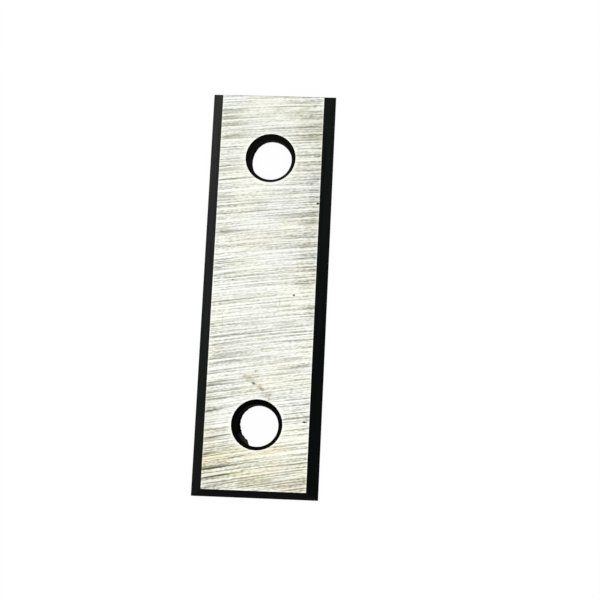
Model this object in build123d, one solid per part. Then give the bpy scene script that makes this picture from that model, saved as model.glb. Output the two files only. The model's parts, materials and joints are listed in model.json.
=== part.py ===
from build123d import *
import os

# Reversible carbide knife: a thin ground plate that lies on its wide rake face, with the narrow face up.
# X runs across the blade, Y along it and Z out of the narrow face.
# The origin is the centre of the wide face. All sizes are millimetres and degrees.

# The blank, measured on the wide face, which holds the sharp edges.
length = 39.5
width = 12.0
thickness = 1.5

# The angle of the carbide left at each long cutting edge.
wedge_angle = 55.0

# How far each end leans in from square, so that the end clears the cut.
end_relief_angle = 19.0

# The screw holes on the centre line, each with a coned mouth in the narrow face.
hole_pitch = 26.0
hole_count = 2
bore_diameter = 4.0
mouth_flare = 0.4
mouth_depth = 0.6

# The small bevel that takes the burr off each bore at the wide face.
bore_edge_break = 0.1

bore_radius = bore_diameter / 2
mouth_radius = bore_radius + mouth_flare


def ground_blank():
    """The plate before its holes: the section across the blade, trimmed to the section along it.

    Both sections are trapezoids that stand on the wide face, so the long bevels and the relieved
    ends meet in clean mitres at the four corners.
    """
    on_wide_face = (Align.CENTER, Align.MIN)
    with BuildPart() as blank:
        with BuildSketch(Plane.XZ):
            Trapezoid(width, thickness, wedge_angle, align=on_wide_face)
        extrude(amount=length / 2, both=True)
        with BuildSketch(Plane.YZ):
            Trapezoid(length, thickness, 90 - end_relief_angle, align=on_wide_face)
        extrude(amount=width / 2, both=True, mode=Mode.INTERSECT)
    return blank.part


def hole_cutter():
    """What one screw hole takes out: half of its outline, turned about the hole's axis."""
    outline = Polyline(
        (0, 0),
        (bore_radius + bore_edge_break, 0),
        (bore_radius, bore_edge_break),
        (bore_radius, thickness - mouth_depth),
        (mouth_radius, thickness),
        (0, thickness),
        close=True,
    )
    half_section = Plane.XZ * make_face(outline)
    return revolve(half_section, Axis.Z)


def knife():
    """The finished knife, with its holes spaced evenly about the middle of its length."""
    cutter = hole_cutter()
    places = GridLocations(0, hole_pitch, 1, hole_count)
    holes = [place * cutter for place in places]
    return ground_blank() - holes


finished = knife()
finished.label = "knife"
os.makedirs("parts", exist_ok=True)
export_step(finished, "parts/knife.step")
print("knife volume", round(finished.volume, 3), "mm3")
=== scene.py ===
import bpy
import json
import math
from mathutils import Matrix, Vector


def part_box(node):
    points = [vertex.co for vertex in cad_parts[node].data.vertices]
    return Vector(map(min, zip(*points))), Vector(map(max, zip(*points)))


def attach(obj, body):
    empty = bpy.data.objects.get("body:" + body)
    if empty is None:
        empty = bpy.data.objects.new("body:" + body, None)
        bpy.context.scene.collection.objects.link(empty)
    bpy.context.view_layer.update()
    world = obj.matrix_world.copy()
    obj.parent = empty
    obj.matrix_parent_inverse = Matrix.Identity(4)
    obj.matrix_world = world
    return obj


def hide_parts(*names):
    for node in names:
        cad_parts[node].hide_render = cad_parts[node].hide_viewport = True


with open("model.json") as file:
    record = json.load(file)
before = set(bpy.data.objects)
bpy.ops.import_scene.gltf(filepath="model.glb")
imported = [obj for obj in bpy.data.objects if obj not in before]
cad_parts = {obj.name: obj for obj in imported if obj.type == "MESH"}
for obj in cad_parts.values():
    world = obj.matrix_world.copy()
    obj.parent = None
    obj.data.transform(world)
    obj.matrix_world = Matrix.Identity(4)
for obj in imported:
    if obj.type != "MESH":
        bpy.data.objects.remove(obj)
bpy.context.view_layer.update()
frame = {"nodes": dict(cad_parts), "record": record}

mm = 0.001  # the scene is in metres, and the knife is thought of in millimetres


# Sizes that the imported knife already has

def readKnifeSizes():
    low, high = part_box("knife")
    mounts = {mount["name"]: mount for mount in frame["record"]["mounts"]}
    holeLine = mounts["screw_line"]["dims"]
    wall = mounts["screw_hole_upper"]
    halfWall = wall["dims"]["length_mm"] * mm / 2
    justBelowTop = high.z - 0.01 * mm
    topPoints = [v.co for v in frame["nodes"]["knife"].data.vertices if v.co.z > justBelowTop]
    holeCentre = Vector((0, wall["pos_m"][1], high.z))
    return {
        "width": high.x - low.x,
        "length": high.y - low.y,
        "thickness": high.z - low.z,
        "topWidth": 2 * max(p.x for p in topPoints),
        "topLength": 2 * max(p.y for p in topPoints),
        "holePitch": holeLine["spacing_y_mm"] * mm,
        "holeCount": holeLine["count"],
        "boreRadius": wall["dims"]["r_mm"] * mm,
        "wallLow": wall["pos_m"][2] - halfWall,
        "wallHigh": wall["pos_m"][2] + halfWall,
        "mouthRadius": min((p - holeCentre).length for p in topPoints),
    }


sizes = readKnifeSizes()
sizesInMm = {name: round(value / mm, 3) for name, value in sizes.items() if name != "holeCount"}
print("knife sizes in mm", sizesInMm)


def addObject(name, data):
    thing = bpy.data.objects.new(name, data)
    bpy.context.scene.collection.objects.link(thing)
    return thing


# Camera, where the outline and both holes fall where the photograph has them

cameraView = {
    "place": (16.50, -37.19, 174.57),    # mm, from the middle of the knife's underside
    "target": (3.40, -0.60, 0.0),
    "roll": 2.76,                        # degrees
    "lens": 112.0,                       # mm, for the sensor below
    "sensorWidth": 36.0,
    "nearest": 10 * mm,
    "farthest": 10.0,
}


def makeCamera():
    place = Vector(cameraView["place"]) * mm
    back = (place - Vector(cameraView["target"]) * mm).normalized()
    right = Vector((0, 1, 0)).cross(back).normalized()
    up = back.cross(right)
    level = Matrix((right, up, back)).transposed()
    turned = level @ Matrix.Rotation(math.radians(cameraView["roll"]), 3, "Z")
    data = bpy.data.cameras.new("photoCamera")
    data.lens = cameraView["lens"]
    data.sensor_width = cameraView["sensorWidth"]
    data.clip_start = cameraView["nearest"]
    data.clip_end = cameraView["farthest"]
    camera = addObject("photoCamera", data)
    camera.matrix_world = Matrix.Translation(place) @ turned.to_4x4()
    bpy.context.scene.camera = camera


makeCamera()
print("camera set")


# Short ways to build node trees

def addNode(tree, kind, values=None, **settings):
    # values fills inputs by name or number, and a socket given there is linked
    node = tree.nodes.new(kind)
    node.location = (200 * (len(tree.nodes) % 12), -260 * (len(tree.nodes) // 12))    # twelve to a row
    for name, value in settings.items():
        setattr(node, name, value)
    for name, value in (values or {}).items():
        if isinstance(value, bpy.types.NodeSocket):
            tree.links.new(value, node.inputs[name])
        else:
            node.inputs[name].default_value = value
    return node


def calc(tree, operation, *terms):
    return addNode(tree, "ShaderNodeMath", dict(enumerate(terms)), operation=operation).outputs[0]


def calcVector(tree, operation, *terms):
    return addNode(tree, "ShaderNodeVectorMath", dict(enumerate(terms)), operation=operation).outputs[0]


def lengthOf(tree, vector):
    return addNode(tree, "ShaderNodeVectorMath", {0: vector}, operation="LENGTH").outputs["Value"]


def scaleVector(tree, vector, factor):
    values = {0: vector, "Scale": factor}
    return addNode(tree, "ShaderNodeVectorMath", values, operation="SCALE").outputs[0]


def joinAxes(tree, x=0.0, y=0.0, z=0.0):
    return addNode(tree, "ShaderNodeCombineXYZ", {"X": x, "Y": y, "Z": z}).outputs[0]


def splitAxes(tree, vector):
    return addNode(tree, "ShaderNodeSeparateXYZ", {0: vector}).outputs


def ramp(tree, value, span, levels=(0.0, 1.0), smooth=True):
    # the first level up to where the span starts, and the second from where it ends
    values = {
        "Value": value, "From Min": span[0], "From Max": span[1], "To Min": levels[0], "To Max": levels[1],
    }
    # a smooth step never leaves its range, so it needs no clamping
    kind = "SMOOTHSTEP" if smooth else "LINEAR"
    node = addNode(tree, "ShaderNodeMapRange", values, interpolation_type=kind, clamp=not smooth)
    return node.outputs["Result"]


def noiseAt(tree, where, scale, detail, roughness=0.5):
    values = {"Vector": where, "Scale": scale, "Detail": detail, "Roughness": roughness}
    return addNode(tree, "ShaderNodeTexNoise", values).outputs["Fac"]


noiseMiddle = 0.5          # Blender's noise varies about this
noiseRange = (0.3, 0.7)    # and hardly ever leaves this


def offMiddle(tree, noise):
    return calc(tree, "SUBTRACT", noise, noiseMiddle)


def blendColour(tree, amount, under, over, how="MIX"):
    # a Mix node has its colours at sockets 6 and 7 and the blended colour at output 2
    values = {0: amount, 6: under, 7: over}
    return addNode(tree, "ShaderNodeMix", values, data_type="RGBA", blend_type=how).outputs[2]


def newGroup(name, kind, inputs, outputs):
    # inputs maps a socket's name to its type or starting value
    tree = bpy.data.node_groups.new(name, kind)
    kinds = {
        float: "NodeSocketFloat", int: "NodeSocketInt", tuple: "NodeSocketVector",
        bpy.types.Material: "NodeSocketMaterial",
    }
    for label, value in inputs.items():
        socketType = value if isinstance(value, str) else kinds[type(value)]
        socket = tree.interface.new_socket(name=label, in_out="INPUT", socket_type=socketType)
        if not isinstance(value, str):
            socket.default_value = value
    for label, socketType in outputs.items():
        tree.interface.new_socket(name=label, in_out="OUTPUT", socket_type=socketType)
    start = addNode(tree, "NodeGroupInput").outputs
    end = addNode(tree, "NodeGroupOutput").inputs
    return tree, start, end


def useGroup(tree, group, values):
    kind = "GeometryNodeGroup" if group.bl_idname == "GeometryNodeTree" else "ShaderNodeGroup"
    return addNode(tree, kind, values, node_tree=group).outputs


# Shader groups that the finishes share

grindingPattern = {
    # noises: fineness along and over a line, shift of the seed, detail and roughness
    "layers": {
        "long": (1.0, 0.86, 0.0, 1.0, 0.8),        # scratches that run most of the way over
        "short": (3.5, 0.9, 17.3, 0.0, 0.5),       # shorter ones between them
        "flecks": (10.5, 1.15, 23.9, 0.0, 0.5),    # breaks in both
        "grain": (46.0, 1.15, 43.7, 0.0, 0.5),     # the carbide's own fine grain
        "fading": (2.5, 0.05, 31.9, 1.0, 0.6),     # where a deep line fades out
        "parting": (0.7, 0.30, 57.1, 0.0, 0.5),    # deep lines run where this noise passes its middle
    },
    # how much of each goes into the tone
    "shares": {"long": 0.86, "short": 0.33, "flecks": 0.20, "grain": 0.33},
    "deepWidth": (0.055, 0.015),   # off the middle of the parting noise: where a deep line starts and is full
    "deepFading": (0.42, 0.60),    # of the fading noise: where a line ends and is full
    "deepDepth": 0.5,              # how far a deep line lies below the rest
}


def makeScratchGroup():
    # fine grinding lines: Along runs with the scratch and Across over it, both in millimetres
    inputs = {"Along": 0.0, "Across": 0.0, "Lines Per mm": 4.0, "Line Length": 3.0, "Seed": 0.0}
    outputs = {"Tone": "NodeSocketFloat", "Deep Lines": "NodeSocketFloat", "Height": "NodeSocketFloat"}
    tree, start, end = newGroup("grindingLines", "ShaderNodeTree", inputs, outputs)
    along = calc(tree, "DIVIDE", start["Along"], start["Line Length"])
    across = calc(tree, "MULTIPLY", start["Across"], start["Lines Per mm"])
    layers = {}
    for name, (alongScale, acrossScale, shift, detail, roughness) in grindingPattern["layers"].items():
        where = joinAxes(
            tree, calc(tree, "MULTIPLY", along, alongScale), calc(tree, "MULTIPLY", across, acrossScale),
            calc(tree, "ADD", start["Seed"], shift),
        )
        layers[name] = noiseAt(tree, where, 1.0, detail, roughness)
    fromLine = calc(tree, "ABSOLUTE", offMiddle(tree, layers["parting"]))
    deepLines = calc(tree, "MULTIPLY", ramp(tree, fromLine, grindingPattern["deepWidth"]),
                     ramp(tree, layers["fading"], grindingPattern["deepFading"]))
    tone = noiseMiddle
    for name, share in grindingPattern["shares"].items():
        tone = calc(tree, "MULTIPLY_ADD", offMiddle(tree, layers[name]), share, tone)
    height = calc(tree, "SUBTRACT", tone, calc(tree, "MULTIPLY", deepLines, grindingPattern["deepDepth"]))
    tree.links.new(tone, end["Tone"])
    tree.links.new(deepLines, end["Deep Lines"])
    tree.links.new(height, end["Height"])
    return tree


def makeStainGroup():
    # one soft, ragged spot: 1 in its middle and 0 outside, in millimetres
    # its noise comes from outside and is shared, since one noise for each spot overfills a shader
    inputs = {
        "Position": (0.0, 0.0, 0.0), "Centre": (0.0, 0.0, 0.0), "Size": (1.0, 1.0, 1.0),
        "Turn": 0.0, "Noise": noiseMiddle, "Ragged": 1.6, "Softness": 0.6,
    }
    tree, start, end = newGroup("stainSpot", "ShaderNodeTree", inputs, {"Mask": "NodeSocketFloat"})
    local = calcVector(tree, "SUBTRACT", start["Position"], start["Centre"])
    angle = calc(tree, "RADIANS", calc(tree, "MULTIPLY", start["Turn"], -1.0))
    turned = addNode(tree, "ShaderNodeVectorRotate", {"Vector": local, "Angle": angle},
                     rotation_type="Z_AXIS")
    scaled = calcVector(tree, "DIVIDE", turned.outputs[0], start["Size"])
    reach = lengthOf(tree, calcVector(tree, "MULTIPLY", scaled, (1.0, 1.0, 0.0)))
    edge = calc(tree, "MULTIPLY_ADD", offMiddle(tree, start["Noise"]), start["Ragged"], reach)
    inner = calc(tree, "SUBTRACT", 1.0, start["Softness"])
    tree.links.new(ramp(tree, edge, (inner, 1.0), (1.0, 0.0)), end["Mask"])
    return tree


grindingLines = makeScratchGroup()
stainSpot = makeStainGroup()
print("shader groups built")


# Ground bright face: near-white carbide with curved grinding scratches, stains and pits

brightFace = {
    "scratchAngle": 7.2,       # degrees from across the blade, at the middle of its length
    "angleChange": -0.17,      # degrees per mm along the blade
    "bow": -0.25,              # degrees per mm across the blade
    "linesPerMm": 7.4,
    "lineLength": 15.0,        # mm
    "seed": 3.1,
    "contrast": 1.0,
    "edgeContrast": 0.40,      # added towards the long edges
    "edgeZone": (2.0, 4.9),    # mm off the middle line, where that starts and is full
    "endContrast": 0.6,        # added towards the lower end
    "endShare": (0.15, 1.15),  # how much of that is added at its right and at its left
    "upperContrast": -0.14,    # added at the upper left
    "patchContrast": 0.09,     # large soft patches
    "mottling": 0.12,          # blotches that dull the right side and some other patches,
    "dullShare": 0.35,         # with this much of them left from the upper hole on
    "dullEndShare": 0.2,       # and this much near the lower end
    "spread": 0.6,             # fineness of the clouds along the scratches, against that over them
    "drawnOut": 0.15,          # and of those that are drawn out more
    "cloudRoughness": 0.6,
    "rimLight": 0.12,          # brightens the rim of the face
    "coolTint": (0.980, 0.988, 1.000, 1),
    "warmTint": (1.000, 0.995, 0.950, 1),
    "endTint": (1.000, 0.985, 0.925, 1),
    "endDulling": 0.07,
    "endStains": 0.45,
    "deepLines": 0.50,         # strength of the deepest scratches
    "deepShare": 0.35,         # share of it that shows all over the face
    "deepLeft": 0.9,           # and what the left edge adds to that share
    "boldWidth": 0.13,         # half the width of the boldest scratches, in mm
    "boldEdge": 0.8,           # how soft and how ragged their outlines are
    "boldOnRim": 0.4,          # how much of them is left on the bright rim
    "largeMark": 1.05,         # half length in mm, above which a mark's outline is broadly ragged
    # the metal's colour by the scratches' tone, from the darkest to the brightest
    "tones": [
        (0.21, (0.344, 0.344, 0.292, 1)),
        (0.38, (0.610, 0.616, 0.549, 1)),
        (0.50, (0.810, 0.816, 0.753, 1)),
        (0.55, (0.884, 0.893, 0.831, 1)),
        (0.59, (0.933, 0.943, 0.884, 1)),
        (0.66, (0.973, 0.984, 0.930, 1)),
    ],
    "roughness": (0.42, 0.30),    # in the scratches and between them
    "bumpDepth": 0.004 * mm,
}

# where things come in on the face: the axis, and the mm along it at which each starts and is full
faceZones = {
    "narrowFace": ("Z", 0.2, 0.5),
    "lowerEnd": ("Y", -12.0, -18.5),       # scratches with more contrast
    "endSides": ("X", 3.0, -4.0),
    "upperPart": ("Y", 6.0, 15.0),         # and with less
    "upperLeft": ("X", 2.0, -3.0),
    "dullRight": ("X", 0.5, 4.5),          # blotches
    "dullAbove": ("Y", 0.0, 6.0),
    "dullUpTo": ("Y", 9.0, 11.0),
    "offLowerEnd": ("Y", -14.0, -11.0),
    "dullEnd": ("Y", -15.0, -18.5),        # a duller end
    "deepLeft": ("X", -1.0, -4.9),         # the deepest scratches
    "stainedEnd": ("Y", -12.5, -15.5),     # yellow and amber stains
}

# soft noises on the face, and the values between which each comes in
faceClouds = {
    "patches": {"seed": 37.8, "perMm": 0.22, "detail": 1.0},
    "dull": {"seed": 87.0, "perMm": 0.2, "detail": 1.0, "shows": (0.52, 0.74)},
    "blotches": {"seed": 21.0, "perMm": 2.0, "detail": 3.0, "shows": (0.58, 0.40)},
    "tint": {"seed": 7.7, "perMm": 0.35, "detail": 3.0, "shows": (0.38, 0.62)},
    "amber": {"seed": 33.0, "perMm": 0.5, "detail": 1.0, "shows": (0.44, 0.56)},
    "stains": {"seed": 120.0, "perMm": 1.0, "detail": 3.0, "shows": (0.50, 0.66)},
    "broadRagged": {"seed": 55.0, "perMm": 1.3, "detail": 4.0},
    "fineRagged": {"seed": 61.0, "perMm": 4.0, "detail": 2.0},
}

# painted highlight on the rim of the face, partly a burnished edge: how far off each edge it starts and is
# full, in mm
brightRim = {"side": (0.22, 0.02), "mouth": (0.38, 0.08), "lowerEnd": (0.25, 0.05)}

# centre x, y, half sizes along and over the mark, turn in degrees, strength and colour name
faceMarks = [
    ((5.6, 6.0), (2.5, 15.0), 0, 0.22, "olive"),
    ((4.2, 16.2), (2.6, 2.6), 4, 0.30, "olive"),
    ((3.6, 15.2), (1.8, 0.6), 6, 0.30, "olive"),
    ((2.3, 17.6), (1.7, 0.35), 5, 0.24, "olive"),
    ((2.1, 8.65), (1.4, 0.28), 5, 0.22, "grey"),
    ((-2.3, 3.5), (0.9, 0.28), 6, 0.22, "grey"),
    ((-3.9, 15.3), (1.4, 0.5), 4, 0.12, "olive"),
    ((-4.2, 17.2), (1.0, 0.4), 4, 0.15, "olive"),
    ((-5.2, -12.7), (2.5, 3.6), 0, 0.36, "olive"),
    ((3.9, 6.6), (1.5, 0.45), 6, 0.42, "olive"),
    ((1.9, 6.4), (0.8, 0.30), 6, 0.35, "yellow"),
    ((3.9, 4.45), (1.3, 0.45), 4, 0.38, "rust"),
    ((-4.0, 5.55), (0.6, 0.25), 6, 0.38, "rust"),
    ((3.5, 2.4), (0.6, 0.45), 0, 0.30, "yellow"),
    ((-0.05, -4.6), (0.5, 0.40), 0, 0.35, "yellow"),
    ((-4.2, -18.2), (2.4, 1.1), 8, 0.24, "grey"),
    ((-3.5, -16.5), (1.6, 0.6), 8, 0.34, "amber"),
    ((-0.6, -15.9), (0.9, 0.25), 12, 0.35, "amber"),
    ((-3.6, -13.5), (1.3, 0.30), 8, 0.45, "pink"),
    ((-2.8, -15.4), (0.9, 0.30), 0, 0.12, "olive"),
    ((2.8, -15.1), (1.1, 0.22), 10, 0.35, "yellow"),
    ((0.2, -18.2), (2.2, 0.45), 8, 0.50, "yellow"),
    ((3.5, -18.6), (1.9, 0.55), 8, 0.38, "pink"),
    ((-0.5, -18.85), (3.2, 0.22), 4, 0.30, "olive"),
    ((-0.95, -8.40), (1.20, 0.45), 8, 0.45, "yellow"),
    ((-0.90, -8.70), (0.90, 0.32), -38, 0.50, "olive"),
    ((-0.70, -9.68), (0.50, 0.16), 10, 0.50, "grey"),
    ((0.12, -9.40), (0.72, 0.42), -34, 0.42, "amber"),
    ((0.86, -10.25), (0.55, 0.42), -50, 0.42, "rust"),
    ((1.10, -10.60), (0.30, 0.22), -50, 0.50, "pink"),
    ((-3.76, -3.10), (0.09, 0.60), 0, 0.45, "grey"),
    ((1.57, -1.20), (0.08, 0.50), 0, 0.40, "grey"),
    ((4.30, 8.90), (0.70, 0.20), 8, 0.50, "grey"),
    ((-0.45, -9.10), (0.26, 0.18), -20, 0.75, "pit"),
    ((0.26, -9.58), (0.46, 0.20), -24, 0.95, "olive"),
    ((-0.36, -7.90), (0.14, 0.11), 20, 0.60, "pit"),
    ((2.90, -0.47), (0.17, 0.14), 0, 1.00, "pit"),
    ((4.47, -12.60), (0.34, 0.12), 3, 1.00, "pit"),
    ((4.78, 8.58), (0.19, 0.15), 0, 1.00, "pit"),
    ((-3.01, 0.85), (0.12, 0.11), 0, 0.70, "pit"),
]

# the boldest single scratches: left end, right end and strength
boldScratches = [
    ((-8.0, -17.95), (-0.6, -16.62), 0.85),
    ((-8.0, -18.78), (0.2, -17.25), 0.70),
    ((-7.0, -19.35), (1.2, -17.90), 0.40),
    ((-1.6, -18.94), (7.0, -17.36), 0.40),
    ((0.8, -17.92), (5.0, -17.19), 0.45),
    ((1.6, -16.98), (7.0, -15.95), 0.40),
    ((-6.5, -16.42), (-3.2, -15.66), 0.60),
    ((-3.0, -16.36), (-0.2, -15.73), 0.50),
    ((2.6, -15.96), (6.8, -15.22), 0.60),
    ((-5.6, -14.67), (-1.9, -13.83), 0.65),
    ((-6.8, -14.05), (-2.2, -13.27), 0.50),
    ((-8.0, -12.60), (-1.7, -11.20), 0.85),
    ((-8.0, -11.15), (-2.6, -10.20), 0.50),
    ((-8.0, -9.87), (-2.0, -8.96), 0.55),
    ((-0.4, -7.99), (7.5, -6.81), 0.35),
    ((1.1, -6.78), (5.0, -6.26), 0.40),
    ((-0.6, -1.88), (5.0, -1.29), 0.40),
    ((-5.0, 1.03), (1.4, 1.66), 0.35),
    ((-7.6, 1.33), (-0.8, 2.27), 0.40),
    ((2.8, 1.82), (6.6, 2.33), 0.55),
    ((1.6, 2.92), (6.8, 3.52), 0.45),
    ((-2.6, 6.87), (8.0, 8.11), 0.30),
    ((-7.6, 10.31), (-1.6, 11.06), 0.40),
    ((1.8, 10.74), (7.2, 11.28), 0.40),
    ((-2.4, 15.83), (8.0, 16.71), 0.30),
]

markColours = {
    "pit": (0.03, 0.03, 0.03, 1),
    "scratch": (0.08, 0.08, 0.07, 1),
    "rust": (0.52, 0.42, 0.27, 1),
    "amber": (0.80, 0.63, 0.42, 1),
    "yellow": (0.84, 0.81, 0.54, 1),
    "olive": (0.58, 0.57, 0.45, 1),
    "pink": (0.76, 0.65, 0.57, 1),
    "grey": (0.52, 0.52, 0.50, 1),
}


def newMaterial(name):
    material = bpy.data.materials.new(name)
    material.use_nodes = True
    tree = material.node_tree
    shader = tree.nodes["Principled BSDF"]
    return material, tree, shader


def positionInMm(tree):
    where = addNode(tree, "ShaderNodeTexCoord").outputs["Object"]
    return calcVector(tree, "MULTIPLY", where, (1 / mm, 1 / mm, 1 / mm))


def dressShader(tree, shader, finish, colour, pattern, height):
    # the finish gives the roughness where the pattern is low and where it is high
    tree.links.new(colour, shader.inputs["Base Color"])
    tree.links.new(ramp(tree, pattern, noiseRange, finish["roughness"]), shader.inputs["Roughness"])
    bump = addNode(tree, "ShaderNodeBump", {"Height": height, "Distance": finish["bumpDepth"]})
    tree.links.new(bump.outputs[0], shader.inputs["Normal"])


def scratchField(tree, apart):
    # the scratches rise to the right, more so towards the lower end, and bow a little
    turn = calc(tree, "MULTIPLY_ADD", apart["Y"], brightFace["angleChange"], brightFace["scratchAngle"])
    slope = calc(tree, "TANGENT", calc(tree, "RADIANS", turn))
    rise = calc(tree, "MULTIPLY", apart["X"], slope)
    squared = calc(tree, "MULTIPLY", apart["X"], apart["X"])
    bowed = calc(tree, "MULTIPLY", squared, -math.radians(brightFace["bow"]) / 2)
    return apart["X"], calc(tree, "ADD", calc(tree, "SUBTRACT", apart["Y"], rise), bowed)


def fromHole(tree, apart):
    # distance in millimetres from the axis of the nearer hole
    holeY = calc(tree, "SUBTRACT", calc(tree, "ABSOLUTE", apart["Y"]), sizes["holePitch"] / mm / 2)
    return lengthOf(tree, joinAxes(tree, apart["X"], holeY))


def faceRim(tree, apart):
    # 1 on the rim of the ground face, where a highlight is painted, partly a burnished edge: along both long
    # edges and the lower end, and round the hole mouths
    halfWidth = sizes["topWidth"] / mm / 2
    halfLength = sizes["topLength"] / mm / 2
    mouth = sizes["mouthRadius"] / mm
    side = ramp(tree, calc(tree, "ABSOLUTE", apart["X"]), [halfWidth - off for off in brightRim["side"]])
    ring = ramp(tree, fromHole(tree, apart), [mouth + off for off in brightRim["mouth"]])
    lowerEnd = ramp(tree, apart["Y"], [off - halfLength for off in brightRim["lowerEnd"]])
    return calc(tree, "MAXIMUM", calc(tree, "MAXIMUM", side, ring), lowerEnd)


def addMarks(tree, position, colour, broadRagged, fineRagged, offRim):
    # pits cover the metal, and all other marks tint it
    for left, right, strength in boldScratches:
        run = Vector(right) - Vector(left)
        middle = (Vector(left) + Vector(right)) / 2
        spot = useGroup(tree, stainSpot, {
            "Position": position, "Centre": (*middle, 0), "Turn": math.degrees(math.atan2(run.y, run.x)),
            "Size": (run.length / 2, brightFace["boldWidth"], 1), "Softness": brightFace["boldEdge"],
            "Noise": broadRagged, "Ragged": brightFace["boldEdge"],
        })
        amount = calc(tree, "MULTIPLY", calc(tree, "MULTIPLY", spot["Mask"], strength), offRim)
        colour = blendColour(tree, amount, colour, markColours["scratch"], "MULTIPLY")
    for centre, halfSize, turn, strength, name in faceMarks:
        spot = useGroup(tree, stainSpot, {
            "Position": position, "Centre": (*centre, 0), "Size": (*halfSize, 1), "Turn": float(turn),
            "Noise": broadRagged if max(halfSize) > brightFace["largeMark"] else fineRagged,
        })
        amount = calc(tree, "MULTIPLY", spot["Mask"], strength)
        how = "MIX" if name == "pit" else "MULTIPLY"
        colour = blendColour(tree, amount, colour, markColours[name], how)
    return colour


def makeFaceMaterial():
    material, tree, shader = newMaterial("groundCarbide")
    position = positionInMm(tree)
    apart = splitAxes(tree, position)
    along, across = scratchField(tree, apart)
    lines = useGroup(tree, grindingLines, {
        "Along": along, "Across": across, "Seed": brightFace["seed"],
        "Lines Per mm": brightFace["linesPerMm"], "Line Length": brightFace["lineLength"],
    })

    def zone(name, levels=(0.0, 1.0)):
        axis, starts, full = faceZones[name]
        return ramp(tree, apart[axis], (starts, full), levels)

    def cloud(name, where):
        look = faceClouds[name]
        moved = calcVector(tree, "ADD", where, (0.0, 0.0, look["seed"]))
        noise = noiseAt(tree, moved, look["perMm"], look["detail"], brightFace["cloudRoughness"])
        return ramp(tree, noise, look["shows"]) if "shows" in look else noise

    # the scratches stand out more towards the long edges and the lower end, and less at the upper left
    fromMiddle = calc(tree, "ABSOLUTE", apart["X"])
    besides = ramp(tree, fromMiddle, brightFace["edgeZone"], (0.0, brightFace["edgeContrast"]))
    below = zone("lowerEnd", (0.0, brightFace["endContrast"]))
    lowerLeft = calc(tree, "MULTIPLY", below, zone("endSides", brightFace["endShare"]))
    above = zone("upperPart", (0.0, brightFace["upperContrast"]))
    upperLeft = calc(tree, "MULTIPLY", above, zone("upperLeft"))
    contrast = calc(tree, "ADD", calc(tree, "ADD", besides, lowerLeft), brightFace["contrast"])
    contrast = calc(tree, "ADD", contrast, upperLeft)
    swing = calc(tree, "MULTIPLY", offMiddle(tree, lines["Tone"]), contrast)
    spread = joinAxes(tree, calc(tree, "MULTIPLY", along, brightFace["spread"]), across)
    drawnOut = joinAxes(tree, calc(tree, "MULTIPLY", along, brightFace["drawnOut"]), across)
    flat = calcVector(tree, "MULTIPLY", position, (1.0, 1.0, 0.0))
    patches = offMiddle(tree, cloud("patches", spread))
    swing = calc(tree, "MULTIPLY_ADD", patches, brightFace["patchContrast"], swing)

    # blotches: small and drawn out, on the right above the middle and in a few patches elsewhere
    toRight = calc(tree, "MULTIPLY", zone("dullRight"), zone("dullAbove"))
    toRight = calc(tree, "MULTIPLY", toRight, zone("dullUpTo", (1.0, brightFace["dullShare"])))
    dulled = calc(tree, "MAXIMUM", toRight, cloud("dull", flat))
    dulled = calc(tree, "MULTIPLY", dulled, zone("offLowerEnd", (brightFace["dullEndShare"], 1.0)))
    blotches = calc(tree, "MULTIPLY", dulled, cloud("blotches", drawnOut))
    mottling = calc(tree, "MULTIPLY", blotches, brightFace["mottling"])
    atEnd = zone("dullEnd", (0.0, brightFace["endDulling"]))
    tone = calc(tree, "SUBTRACT", calc(tree, "ADD", swing, noiseMiddle), atEnd)
    tone = calc(tree, "SUBTRACT", tone, mottling)
    onTop = zone("narrowFace")
    # painted highlight along the rim of the narrow face, partly a burnished edge
    rim = calc(tree, "MULTIPLY", faceRim(tree, apart), onTop)
    tone = calc(tree, "MULTIPLY_ADD", rim, brightFace["rimLight"], tone)
    colours = addNode(tree, "ShaderNodeValToRGB", {"Fac": tone})
    stops = colours.color_ramp.elements
    while len(stops) < len(brightFace["tones"]):
        stops.new(0.5)
    for stop, (place, shade) in zip(stops, brightFace["tones"]):
        stop.position = place
        stop.color = shade

    # the deepest scratches run in from the left edge and over the lower end
    deep = calc(tree, "ADD", calc(tree, "MULTIPLY", zone("deepLeft"), brightFace["deepLeft"]), below)
    deep = calc(tree, "MULTIPLY", calc(tree, "ADD", deep, brightFace["deepShare"]), brightFace["deepLines"])
    shown = calc(tree, "MULTIPLY", lines["Deep Lines"], deep)
    colour = blendColour(tree, shown, colours.outputs["Color"], brightFace["tones"][0][1])
    tint = blendColour(tree, cloud("tint", spread), brightFace["coolTint"], brightFace["warmTint"])
    colour = blendColour(tree, 1.0, colour, tint, "MULTIPLY")

    # yellow and amber stains all over the lower end
    low = zone("stainedEnd")
    colour = blendColour(tree, low, colour, brightFace["endTint"], "MULTIPLY")
    stainColour = blendColour(tree, cloud("amber", flat), markColours["yellow"], markColours["amber"])
    stained = calc(tree, "MULTIPLY", cloud("stains", drawnOut), low)
    stained = calc(tree, "MULTIPLY", stained, brightFace["endStains"])
    colour = blendColour(tree, stained, colour, stainColour, "MULTIPLY")

    # the wide face below has the scratches and tints, but neither the rim nor the marks
    offRim = ramp(tree, rim, (0.0, 1.0), (1.0, brightFace["boldOnRim"]))
    marked = addMarks(tree, position, colour, cloud("broadRagged", spread), cloud("fineRagged", flat), offRim)
    colour = blendColour(tree, onTop, colour, marked)
    dressShader(tree, shader, brightFace, colour, lines["Tone"], lines["Height"])
    shader.inputs["Metallic"].default_value = 1.0
    return material


# Long cutting bevels: finely ground, near black, with painted light that makes them greyer towards the upper
# end and on the left

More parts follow.
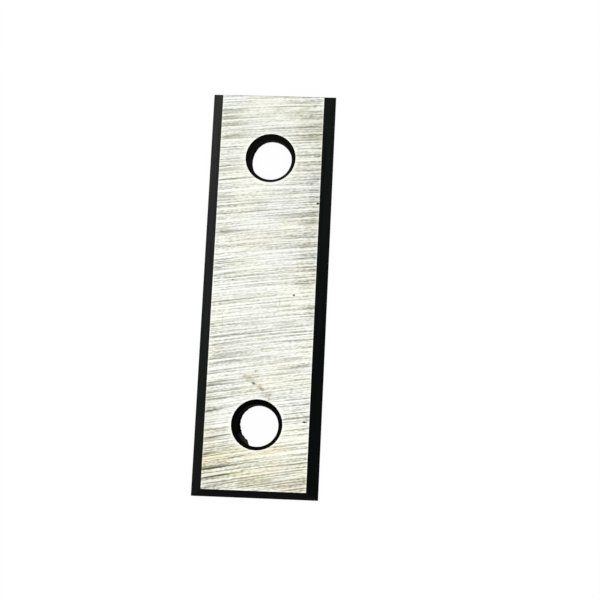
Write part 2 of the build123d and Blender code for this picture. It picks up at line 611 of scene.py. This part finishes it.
darkBevel = {
    # painted light: near black at the lower end and grey at the upper end, a lighter grey on the left bevel
    # than on the right
    "lowerColour": (0.0003, 0.0012, 0.0011, 1),
    "upperLeft": (0.0200, 0.0200, 0.0190, 1),
    "upperRight": (0.0058, 0.0066, 0.0066, 1),
    "upwards": 2.0,            # the higher, the nearer the upper end the grey stays
    "linesPerMm": 5.0,
    "lineLength": 14.0,        # mm
    "seed": 8.7,
    "streaks": (0.6, 1.4),     # share of the colour in the lines and between them
    "roughness": (0.34, 0.22),
    "bumpDepth": 0.001 * mm,
    "specular": 0.0125,
}


def makeBevelMaterial():
    material, tree, shader = newMaterial("groundBevel")
    apart = splitAxes(tree, positionInMm(tree))
    lines = useGroup(tree, grindingLines, {
        "Along": apart["Y"], "Across": apart["Z"], "Seed": darkBevel["seed"],
        "Lines Per mm": darkBevel["linesPerMm"], "Line Length": darkBevel["lineLength"],
    })
    # painted light: the colour greys towards the upper end, more on the left bevel
    halfLength = sizes["length"] / mm / 2
    upward = ramp(tree, apart["Y"], (-halfLength, halfLength), smooth=False)
    upward = calc(tree, "POWER", upward, darkBevel["upwards"])
    isRight = calc(tree, "GREATER_THAN", apart["X"], 0.0)
    upper = blendColour(tree, isRight, darkBevel["upperLeft"], darkBevel["upperRight"])
    colour = blendColour(tree, upward, darkBevel["lowerColour"], upper)
    colour = scaleVector(tree, colour, ramp(tree, lines["Tone"], noiseRange, darkBevel["streaks"]))
    dressShader(tree, shader, darkBevel, colour, lines["Tone"], lines["Height"])
    shader.inputs["Specular IOR Level"].default_value = darkBevel["specular"]
    return material


# Hole walls and ends: as the press and furnace left them, dull and black

sinteredSkin = {
    "colour": (0.0008, 0.0008, 0.0008, 1),
    "grainColour": (0.0030, 0.0030, 0.0030, 1),
    "grainPerMm": 14.0,
    "grainDetail": 3.0,
    "grainShows": (0.4, 0.7),
    "coneColour": (0.0045, 0.0045, 0.0042, 1),
    "coneFades": (0.1, 0.2),       # mm above the cone's foot and below its top
    "rimColour": (0.0060, 0.0060, 0.0060, 1),
    "rimWidth": (0.10, 0.02),      # mm off the rim, where it starts and is full
    "endColour": (0.0021, 0.0021, 0.0021, 1),
    "endHeights": (1.15, 0.80),    # mm above the floor, likewise
    "offMouth": 0.3,               # mm, past which a wall belongs to an end and not to a hole
    "roughness": (0.5, 0.7),
    "bumpDepth": 0.004 * mm,
    "specular": 0.008,
}

# dark crust at the foot of each hole's wall, which stands in for the floor's shadow seen through the hole,
# round the hole in degrees from +X towards +Y
shadowCrust = {
    "height": 0.55 * mm,
    "lower": {"thickness": 0.42 * mm, "starts": 80.0, "thickest": 212.0, "falls": 233.0, "ends": 253.0},
    "upper": {"thickness": 0.16 * mm, "starts": 95.0, "thickest": 158.0, "falls": 172.0, "ends": 240.0},
    "lumpsPerMm": 2.5,
    "lumpShare": (0.88, 1.1),      # of the thickness, in the hollows and on the lumps
    "palest": 232.0,               # where the lower crust shows the grey of the painted shadow
    "paleColour": (0.030, 0.030, 0.029, 1),
    "paleSize": (1.2, 0.75),       # half sizes of the grey spot in mm, along the wall and across it
    "paleRagged": 1.2,
    "paleSoftness": 0.5,
    "paleHeights": (0.62, 0.35),   # mm above the floor, where it starts and is full
}


def makeSkinMaterial():
    material, tree, shader = newMaterial("sinteredSkin")
    position = positionInMm(tree)
    apart = splitAxes(tree, position)
    grain = noiseAt(tree, position, sinteredSkin["grainPerMm"], sinteredSkin["grainDetail"])
    amount = ramp(tree, grain, sinteredSkin["grainShows"])
    colour = blendColour(tree, amount, sinteredSkin["colour"], sinteredSkin["grainColour"])

    # in the holes: a paler cone at the upper one, and a line of light where each cone meets its bore
    reach = sizes["mouthRadius"] / mm + sinteredSkin["offMouth"]
    inHole = calc(tree, "LESS_THAN", fromHole(tree, apart), reach)
    coneFoot = sizes["wallHigh"] / mm
    coneTop = sizes["thickness"] / mm
    fromFoot, fromTop = sinteredSkin["coneFades"]
    onCone = calc(tree, "MULTIPLY", ramp(tree, apart["Z"], (coneFoot, coneFoot + fromFoot)),
                  ramp(tree, apart["Z"], (coneTop, coneTop - fromTop)))
    upperHole = calc(tree, "MULTIPLY", inHole, calc(tree, "GREATER_THAN", apart["Y"], 0.0))
    colour = blendColour(tree, calc(tree, "MULTIPLY", onCone, upperHole), colour, sinteredSkin["coneColour"])
    fromRim = calc(tree, "ABSOLUTE", calc(tree, "SUBTRACT", apart["Z"], coneFoot))
    onRim = calc(tree, "MULTIPLY", inHole, ramp(tree, fromRim, sinteredSkin["rimWidth"]))
    colour = blendColour(tree, onRim, colour, sinteredSkin["rimColour"])

    # the ends are a little paler in their lower half
    lowOnEnd = calc(tree, "MULTIPLY", calc(tree, "SUBTRACT", 1.0, inHole),
                    ramp(tree, apart["Z"], sinteredSkin["endHeights"]))
    colour = blendColour(tree, lowOnEnd, colour, sinteredSkin["endColour"])

    # grey spot on the lower crust: painted shadow, the paler part of the floor's shadow seen through the hole
    turn = math.radians(shadowCrust["palest"])
    radius = sizes["boreRadius"] / mm
    spot = useGroup(tree, stainSpot, {
        "Position": position, "Turn": shadowCrust["palest"] - 90, "Size": (*shadowCrust["paleSize"], 1),
        "Centre": (radius * math.cos(turn), radius * math.sin(turn) - sizes["holePitch"] / mm / 2, 0),
        "Noise": grain, "Ragged": shadowCrust["paleRagged"], "Softness": shadowCrust["paleSoftness"],
    })
    foot = calc(tree, "MULTIPLY", spot["Mask"], ramp(tree, apart["Z"], shadowCrust["paleHeights"]))
    colour = blendColour(tree, foot, colour, shadowCrust["paleColour"])
    dressShader(tree, shader, sinteredSkin, colour, grain, grain)
    shader.inputs["Specular IOR Level"].default_value = sinteredSkin["specular"]
    return material


faceMaterial = makeFaceMaterial()
bevelMaterial = makeBevelMaterial()
skinMaterial = makeSkinMaterial()
print("materials built")


# The knife: a tapered plate, less a coned hole at each screw and a small dent at each pit

knifeShape = {
    "holeSides": 96,
    "past": 0.4 * mm,          # how far the cutters reach beyond both faces
    "chipped": 0.025 * mm,     # the mouths' thin edges have crumbled back this far
    "arris": 0.02 * mm,        # rounding of the edges round the narrow face
    "arrisSteps": 2,
    "pitSteps": 4,             # subdivisions of the balls that dent the face
    "footShare": 0.9,          # of the shadow crust's height, below which the cutter's rings are drawn in
    "weld": 0.0001 * mm,       # points nearer than this become one
    "sharpFrom": 30,           # degrees, for an edge that may be rounded
    "outerShare": 0.49,        # of the narrow face's width and length, past which its outer edges lie
    "topShare": 0.98,          # of the thickness, past which the narrow face's edges lie
    "flatFacing": 0.999,       # a face this much up or down is ground bright,
    "endFacing": 0.93,         # and one this much along the blade has the skin
    "smoothBelow": 10,         # degrees between facets that still shade as one curve
}

# dents in the narrow face: x, y, radius of the dent's rim and its depth
pits = [
    (2.90, -0.475, 0.075, 0.030),
    (4.49, -12.60, 0.070, 0.025),
    (-3.01, 0.85, 0.045, 0.015),
    (-0.39, -7.94, 0.080, 0.025),
]

cutterInputs = (
    "Bore Radius", "Mouth Radius", "Thickness", "Wall Low", "Wall High", "Residue Height", "Past",
    "Hole Sides", "Skin Material",
)
shadowCrustInputs = ("Thickness", "Starts", "Thickest", "Falls", "Ends")


def knifeInputs():
    values = {
        "Width": sizes["width"], "Length": sizes["length"], "Thickness": sizes["thickness"],
        "Top Width": sizes["topWidth"], "Top Length": sizes["topLength"],
        "Hole Pitch": sizes["holePitch"], "Hole Count": sizes["holeCount"],
        "Bore Radius": sizes["boreRadius"], "Mouth Radius": sizes["mouthRadius"] + knifeShape["chipped"],
        "Wall Low": sizes["wallLow"], "Wall High": sizes["wallHigh"],
        "Hole Sides": knifeShape["holeSides"], "Past": knifeShape["past"],
        "Residue Height": shadowCrust["height"], "Face Material": faceMaterial,
        "Bevel Material": bevelMaterial, "Skin Material": skinMaterial,
    }
    for hole in ("Lower", "Upper"):
        for name in shadowCrustInputs:
            values[hole + " " + name] = shadowCrust[hole.lower()][name.lower()]
    return values


def paint(tree, geometry, material, selection=True):
    values = {"Geometry": geometry, "Material": material, "Selection": selection}
    return addNode(tree, "GeometryNodeSetMaterial", values).outputs[0]


def makeHoleCutter(values):
    # a cylinder of five rings, which are moved to where the hole's outline turns
    inputs = {name: values[name] for name in cutterInputs}
    tree, start, end = newGroup("holeCutter", "GeometryNodeTree", inputs, {"Mesh": "NodeSocketGeometry"})
    bore = start["Bore Radius"]
    flare = calc(tree, "SUBTRACT", start["Mouth Radius"], bore)
    slope = calc(tree, "DIVIDE", flare, calc(tree, "SUBTRACT", start["Thickness"], start["Wall High"]))
    # the mouth's cone and the 45 degree break below both carry on past the faces
    upperRadius = calc(tree, "MULTIPLY_ADD", slope, start["Past"], start["Mouth Radius"])
    lowerRadius = calc(tree, "ADD", calc(tree, "ADD", bore, start["Wall Low"]), start["Past"])
    radii = (lowerRadius, bore, bore, bore, upperRadius)
    heights = (calc(tree, "MULTIPLY", start["Past"], -1.0), start["Wall Low"], start["Residue Height"],
               start["Wall High"], calc(tree, "ADD", start["Thickness"], start["Past"]))
    gaps = len(heights) - 1
    tube = addNode(tree, "GeometryNodeMeshCylinder", {
        "Vertices": start["Hole Sides"], "Side Segments": gaps, "Radius": 1.0, "Depth": float(gaps),
    }, fill_type="NGON")
    apart = splitAxes(tree, addNode(tree, "GeometryNodeInputPosition").outputs[0])
    ring = calc(tree, "ROUND", calc(tree, "ADD", apart["Z"], gaps / 2))

    def byRing(measures):
        switch = addNode(tree, "GeometryNodeIndexSwitch", data_type="FLOAT")
        while len(switch.index_switch_items) < len(measures):
            switch.index_switch_items.new()
        tree.links.new(ring, switch.inputs["Index"])
        for i, measure in enumerate(measures):
            tree.links.new(measure, switch.inputs[1 + i])
        return switch.outputs[0]

    radius = byRing(radii)
    moved = joinAxes(tree, calc(tree, "MULTIPLY", apart["X"], radius),
                     calc(tree, "MULTIPLY", apart["Y"], radius), byRing(heights))
    shaped = addNode(tree, "GeometryNodeSetPosition", {"Geometry": tube.outputs["Mesh"], "Position": moved})
    tree.links.new(paint(tree, shaped.outputs[0], start["Skin Material"]), end["Mesh"])
    return tree


def makeShadowCrustGroup(values):
    # how far a dark crust, which stands in for the floor's shadow, stands out of the wall at an angle round
    # the hole
    inputs = {"Angle": 0.0, **{name: values["Lower " + name] for name in shadowCrustInputs}}
    tree, start, end = newGroup("crust", "GeometryNodeTree", inputs, {"Depth": "NodeSocketFloat"})
    rise = ramp(tree, start["Angle"], (start["Starts"], start["Thickest"]))
    fall = ramp(tree, start["Angle"], (start["Ends"], start["Falls"]))
    place = addNode(tree, "GeometryNodeInputPosition").outputs[0]
    lump = noiseAt(tree, place, shadowCrust["lumpsPerMm"] / mm, 1.0)
    ragged = ramp(tree, lump, noiseRange, shadowCrust["lumpShare"], smooth=False)
    swell = calc(tree, "MULTIPLY", rise, fall)
    depth = calc(tree, "MULTIPLY", swell, calc(tree, "MULTIPLY", ragged, start["Thickness"]))
    tree.links.new(depth, end["Depth"])
    return tree


def makeKnifeTree(values):
    inputs = {"Pits": "NodeSocketGeometry", **values}
    tree, start, end = newGroup("knifeBody", "GeometryNodeTree", inputs, {"Geometry": "NodeSocketGeometry"})
    tree.is_modifier = True
    place = addNode(tree, "GeometryNodeInputPosition").outputs[0]
    apart = splitAxes(tree, place)

    # plate: a block whose upper corners are drawn in, which makes the bevels and their mitres
    block = addNode(tree, "GeometryNodeMeshCube", {
        "Size": joinAxes(tree, start["Width"], start["Length"], start["Thickness"]),
    })
    half = calc(tree, "MULTIPLY", start["Thickness"], 0.5)
    standing = addNode(tree, "GeometryNodeTransform", {
        "Geometry": block.outputs["Mesh"], "Translation": joinAxes(tree, z=half),
    })
    drawIn = joinAxes(tree, calc(tree, "DIVIDE", start["Top Width"], start["Width"]),
                      calc(tree, "DIVIDE", start["Top Length"], start["Length"]), 1.0)
    tapered = addNode(tree, "GeometryNodeSetPosition", {
        "Geometry": standing.outputs[0], "Selection": calc(tree, "GREATER_THAN", apart["Z"], half),
        "Position": calcVector(tree, "MULTIPLY", place, drawIn),
    })
    plate = paint(tree, tapered.outputs[0], start["Bevel Material"])

    # holes: one cutter on each point of a line along the blade
    steps = calc(tree, "SUBTRACT", start["Hole Count"], 1.0)
    firstY = calc(tree, "MULTIPLY", calc(tree, "MULTIPLY", start["Hole Pitch"], steps), -0.5)
    line = addNode(tree, "GeometryNodeMeshLine", {
        "Count": start["Hole Count"], "Start Location": joinAxes(tree, y=firstY),
        "Offset": joinAxes(tree, y=start["Hole Pitch"]),
    }, mode="OFFSET")
    cutter = useGroup(tree, makeHoleCutter(values), {name: start[name] for name in cutterInputs})
    holes = addNode(tree, "GeometryNodeInstanceOnPoints", {"Points": line.outputs[0], "Instance": cutter[0]})
    solidHoles = addNode(tree, "GeometryNodeRealizeInstances", {"Geometry": holes.outputs[0]})

    # shadow crust: the foot of each cutter is drawn in where a dark crust stands in for the floor's shadow
    isUpperHole = calc(tree, "GREATER_THAN", apart["Y"], 0.0)
    pastFirst = calc(tree, "MULTIPLY", isUpperHole, start["Hole Pitch"])
    holeY = calc(tree, "MULTIPLY_ADD", pastFirst, steps, firstY)
    offAxis = calc(tree, "SUBTRACT", apart["Y"], holeY)
    angle = calc(tree, "DEGREES", calc(tree, "ARCTAN2", offAxis, apart["X"]))
    angle = calc(tree, "FLOORED_MODULO", angle, 360.0)
    crust = makeShadowCrustGroup(values)
    depths = []
    for hole in ("Lower", "Upper"):
        shadowCrustValues = {name: start[hole + " " + name] for name in shadowCrustInputs}
        depths.append(useGroup(tree, crust, {"Angle": angle, **shadowCrustValues})[0])
    inward = addNode(tree, "ShaderNodeMix", {0: isUpperHole, 2: depths[0], 3: depths[1]}).outputs[0]
    outwards = calcVector(tree, "NORMALIZE", joinAxes(tree, apart["X"], offAxis))
    footTop = calc(tree, "MULTIPLY", start["Residue Height"], knifeShape["footShare"])
    shadowCrusted = addNode(tree, "GeometryNodeSetPosition", {
        "Geometry": solidHoles.outputs[0], "Selection": calc(tree, "LESS_THAN", apart["Z"], footTop),
        "Offset": scaleVector(tree, outwards, calc(tree, "MULTIPLY", inward, -1.0)),
    })

    # pits: one ball on each point, which stands above the face so that only its cap cuts
    ball = addNode(tree, "GeometryNodeMeshIcoSphere", {"Radius": 1.0, "Subdivisions": knifeShape["pitSteps"]})
    radius = addNode(tree, "GeometryNodeInputNamedAttribute", {"Name": "ballRadius"}, data_type="FLOAT")
    dents = addNode(tree, "GeometryNodeInstanceOnPoints", {
        "Points": start["Pits"], "Instance": paint(tree, ball.outputs[0], start["Face Material"]),
        "Scale": radius.outputs["Attribute"],
    })
    solidDents = addNode(tree, "GeometryNodeRealizeInstances", {"Geometry": dents.outputs[0]})
    cut = addNode(tree, "GeometryNodeMeshBoolean", {"Mesh 1": plate}, operation="DIFFERENCE", solver="EXACT")
    for tool in (shadowCrusted, solidDents):
        tree.links.new(tool.outputs[0], cut.inputs["Mesh 2"])
    clean = addNode(tree, "GeometryNodeMergeByDistance", {
        "Geometry": cut.outputs["Mesh"], "Distance": knifeShape["weld"],
    })

    # the outer edges of the narrow face are marked, and get a hair of rounding afterwards
    def isPast(value, size, share):
        return calc(tree, "GREATER_THAN", value, calc(tree, "MULTIPLY", size, share))

    turn = addNode(tree, "GeometryNodeInputMeshEdgeAngle").outputs["Unsigned Angle"]
    sharp = calc(tree, "GREATER_THAN", turn, math.radians(knifeShape["sharpFrom"]))
    onTop = isPast(apart["Z"], start["Thickness"], knifeShape["topShare"])
    atSide = isPast(calc(tree, "ABSOLUTE", apart["X"]), start["Top Width"], knifeShape["outerShare"])
    atEnd = isPast(calc(tree, "ABSOLUTE", apart["Y"]), start["Top Length"], knifeShape["outerShare"])
    outer = calc(tree, "MULTIPLY", onTop, calc(tree, "MAXIMUM", atSide, atEnd))
    weight = calc(tree, "MULTIPLY", sharp, outer)
    marked = addNode(tree, "GeometryNodeStoreNamedAttribute", {
        "Geometry": clean.outputs[0], "Name": "bevel_weight_edge", "Value": weight,
    }, data_type="FLOAT", domain="EDGE")

    # skin on the ends and bright metal on both flat faces
    whole = addNode(tree, "GeometryNodeRealizeInstances", {"Geometry": marked.outputs[0]})
    facing = splitAxes(tree, addNode(tree, "GeometryNodeInputNormal").outputs[0])
    isFlat = calc(tree, "GREATER_THAN", calc(tree, "ABSOLUTE", facing["Z"]), knifeShape["flatFacing"])
    isEnd = calc(tree, "GREATER_THAN", calc(tree, "ABSOLUTE", facing["Y"]), knifeShape["endFacing"])
    ends = paint(tree, whole.outputs[0], start["Skin Material"], isEnd)
    tree.links.new(paint(tree, ends, start["Face Material"], isFlat), end["Geometry"])
    return tree


def makePitPoints():
    mesh = bpy.data.meshes.new("pitPoints")
    balls = []
    for x, y, rim, depth in pits:
        ballRadius = (rim ** 2 + depth ** 2) / (2 * depth)
        balls.append((x, y, sizes["thickness"] / mm - depth + ballRadius, ballRadius))
    mesh.from_pydata([(x * mm, y * mm, z * mm) for x, y, z, _ in balls], [], [])
    radii = mesh.attributes.new("ballRadius", "FLOAT", "POINT")
    for i, ball in enumerate(balls):
        radii.data[i].value = ball[3] * mm
    return mesh


def setInputs(modifier, values):
    for item in modifier.node_group.interface.items_tree:
        if item.item_type == "SOCKET" and item.in_out == "INPUT" and item.name in values:
            modifier[item.identifier] = values[item.name]


def colourArris(mesh):
    # the rounding is dark at the bevels and the lower end, and bright at the upper end
    bright = mesh.materials.find(faceMaterial.name)
    dark = mesh.materials.find(bevelMaterial.name)
    nearEdge = 2 * knifeShape["arris"]
    leansUp = 0.5    # the rounding's faces point up more than this, and the end's don't
    side = sizes["topWidth"] / 2 - nearEdge
    end = sizes["topLength"] / 2 - nearEdge
    for face in mesh.polygons:
        atSide = abs(face.center.x) > side
        if (atSide or face.center.y < -end) and face.material_index == bright:
            face.material_index = dark
        elif face.center.y > end and face.normal.z > leansUp and not atSide:
            face.material_index = bright


def makeKnife():
    maker = addObject("knifeMaker", makePitPoints())
    shape = maker.modifiers.new("shape", "NODES")
    values = knifeInputs()
    shape.node_group = makeKnifeTree(values)
    setInputs(shape, values)
    rounding = maker.modifiers.new("rounding", "BEVEL")
    rounding.limit_method = "WEIGHT"
    rounding.width = knifeShape["arris"]
    rounding.segments = knifeShape["arrisSteps"]
    evaluated = maker.evaluated_get(bpy.context.evaluated_depsgraph_get())
    mesh = bpy.data.meshes.new_from_object(evaluated)
    maker.modifiers.clear()
    bpy.data.objects.remove(maker)
    mesh.name = "groundKnife"
    # the geometry nodes leave an empty material slot, which goes
    for i in reversed(range(len(mesh.materials))):
        if mesh.materials[i] is None:
            mesh.materials.pop(index=i)
    colourArris(mesh)
    mesh.shade_smooth()
    mesh.set_sharp_from_angle(angle=math.radians(knifeShape["smoothBelow"]))
    return addObject("groundKnife", mesh)


knife = makeKnife()
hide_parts("knife")
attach(knife, "root")
print("knife made with", len(knife.data.polygons), "faces,", [m.name for m in knife.data.materials])


# Floor, light and background

studio = {
    "floorSize": 3.0,          # metres
    "floorDrop": 0.005 * mm,   # keeps the floor off the knife's underside
    "floorColour": (0.95, 0.95, 0.95, 1),
    "whiteShare": 0.96,        # how much of the floor shows plain white to the camera and in the metal
    "skyStrength": 1.0,
    "softbox": {"place": (-0.24, -0.10, 0.36), "size": 0.30, "power": 0.35},    # metres and watts
}


def makeFloor():
    half = studio["floorSize"] / 2
    low = -studio["floorDrop"]
    corners = [(x * half, y * half, low) for x, y in ((-1, -1), (1, -1), (1, 1), (-1, 1))]
    mesh = bpy.data.meshes.new("paleFloor")
    mesh.from_pydata(corners, [], [(0, 1, 2, 3)])
    material, tree, shader = newMaterial("palePaper")
    shader.inputs["Base Color"].default_value = studio["floorColour"]
    shader.inputs["Roughness"].default_value = 1.0
    shader.inputs["Specular IOR Level"].default_value = 0.0
    rays = addNode(tree, "ShaderNodeLightPath").outputs
    seen = calc(tree, "MAXIMUM", rays["Is Camera Ray"], rays["Is Glossy Ray"])
    seen = calc(tree, "MAXIMUM", seen, rays["Is Transmission Ray"])
    white = addNode(tree, "ShaderNodeEmission", {"Color": (1, 1, 1, 1), "Strength": 1.0})
    mix = addNode(tree, "ShaderNodeMixShader", {0: calc(tree, "MULTIPLY", seen, studio["whiteShare"])})
    tree.links.new(shader.outputs[0], mix.inputs[1])
    tree.links.new(white.outputs[0], mix.inputs[2])
    tree.links.new(mix.outputs[0], tree.nodes["Material Output"].inputs["Surface"])
    mesh.materials.append(material)
    floor = addObject("paleFloor", mesh)


def makeLight():
    world = bpy.data.worlds.new("whiteStudio")
    world.use_nodes = True
    sky = world.node_tree.nodes["Background"]
    sky.inputs["Color"].default_value = (1, 1, 1, 1)
    sky.inputs["Strength"].default_value = studio["skyStrength"]
    bpy.context.scene.world = world
    box = studio["softbox"]
    data = bpy.data.lights.new("softbox", "AREA")
    data.shape = "SQUARE"
    data.size = box["size"]
    data.energy = box["power"]
    lamp = addObject("softbox", data)
    lamp.location = box["place"]
    lamp.rotation_euler = Vector(box["place"]).to_track_quat("Z", "Y").to_euler()


makeFloor()
makeLight()
bpy.context.scene.view_settings.view_transform = "Standard"
print("studio set")
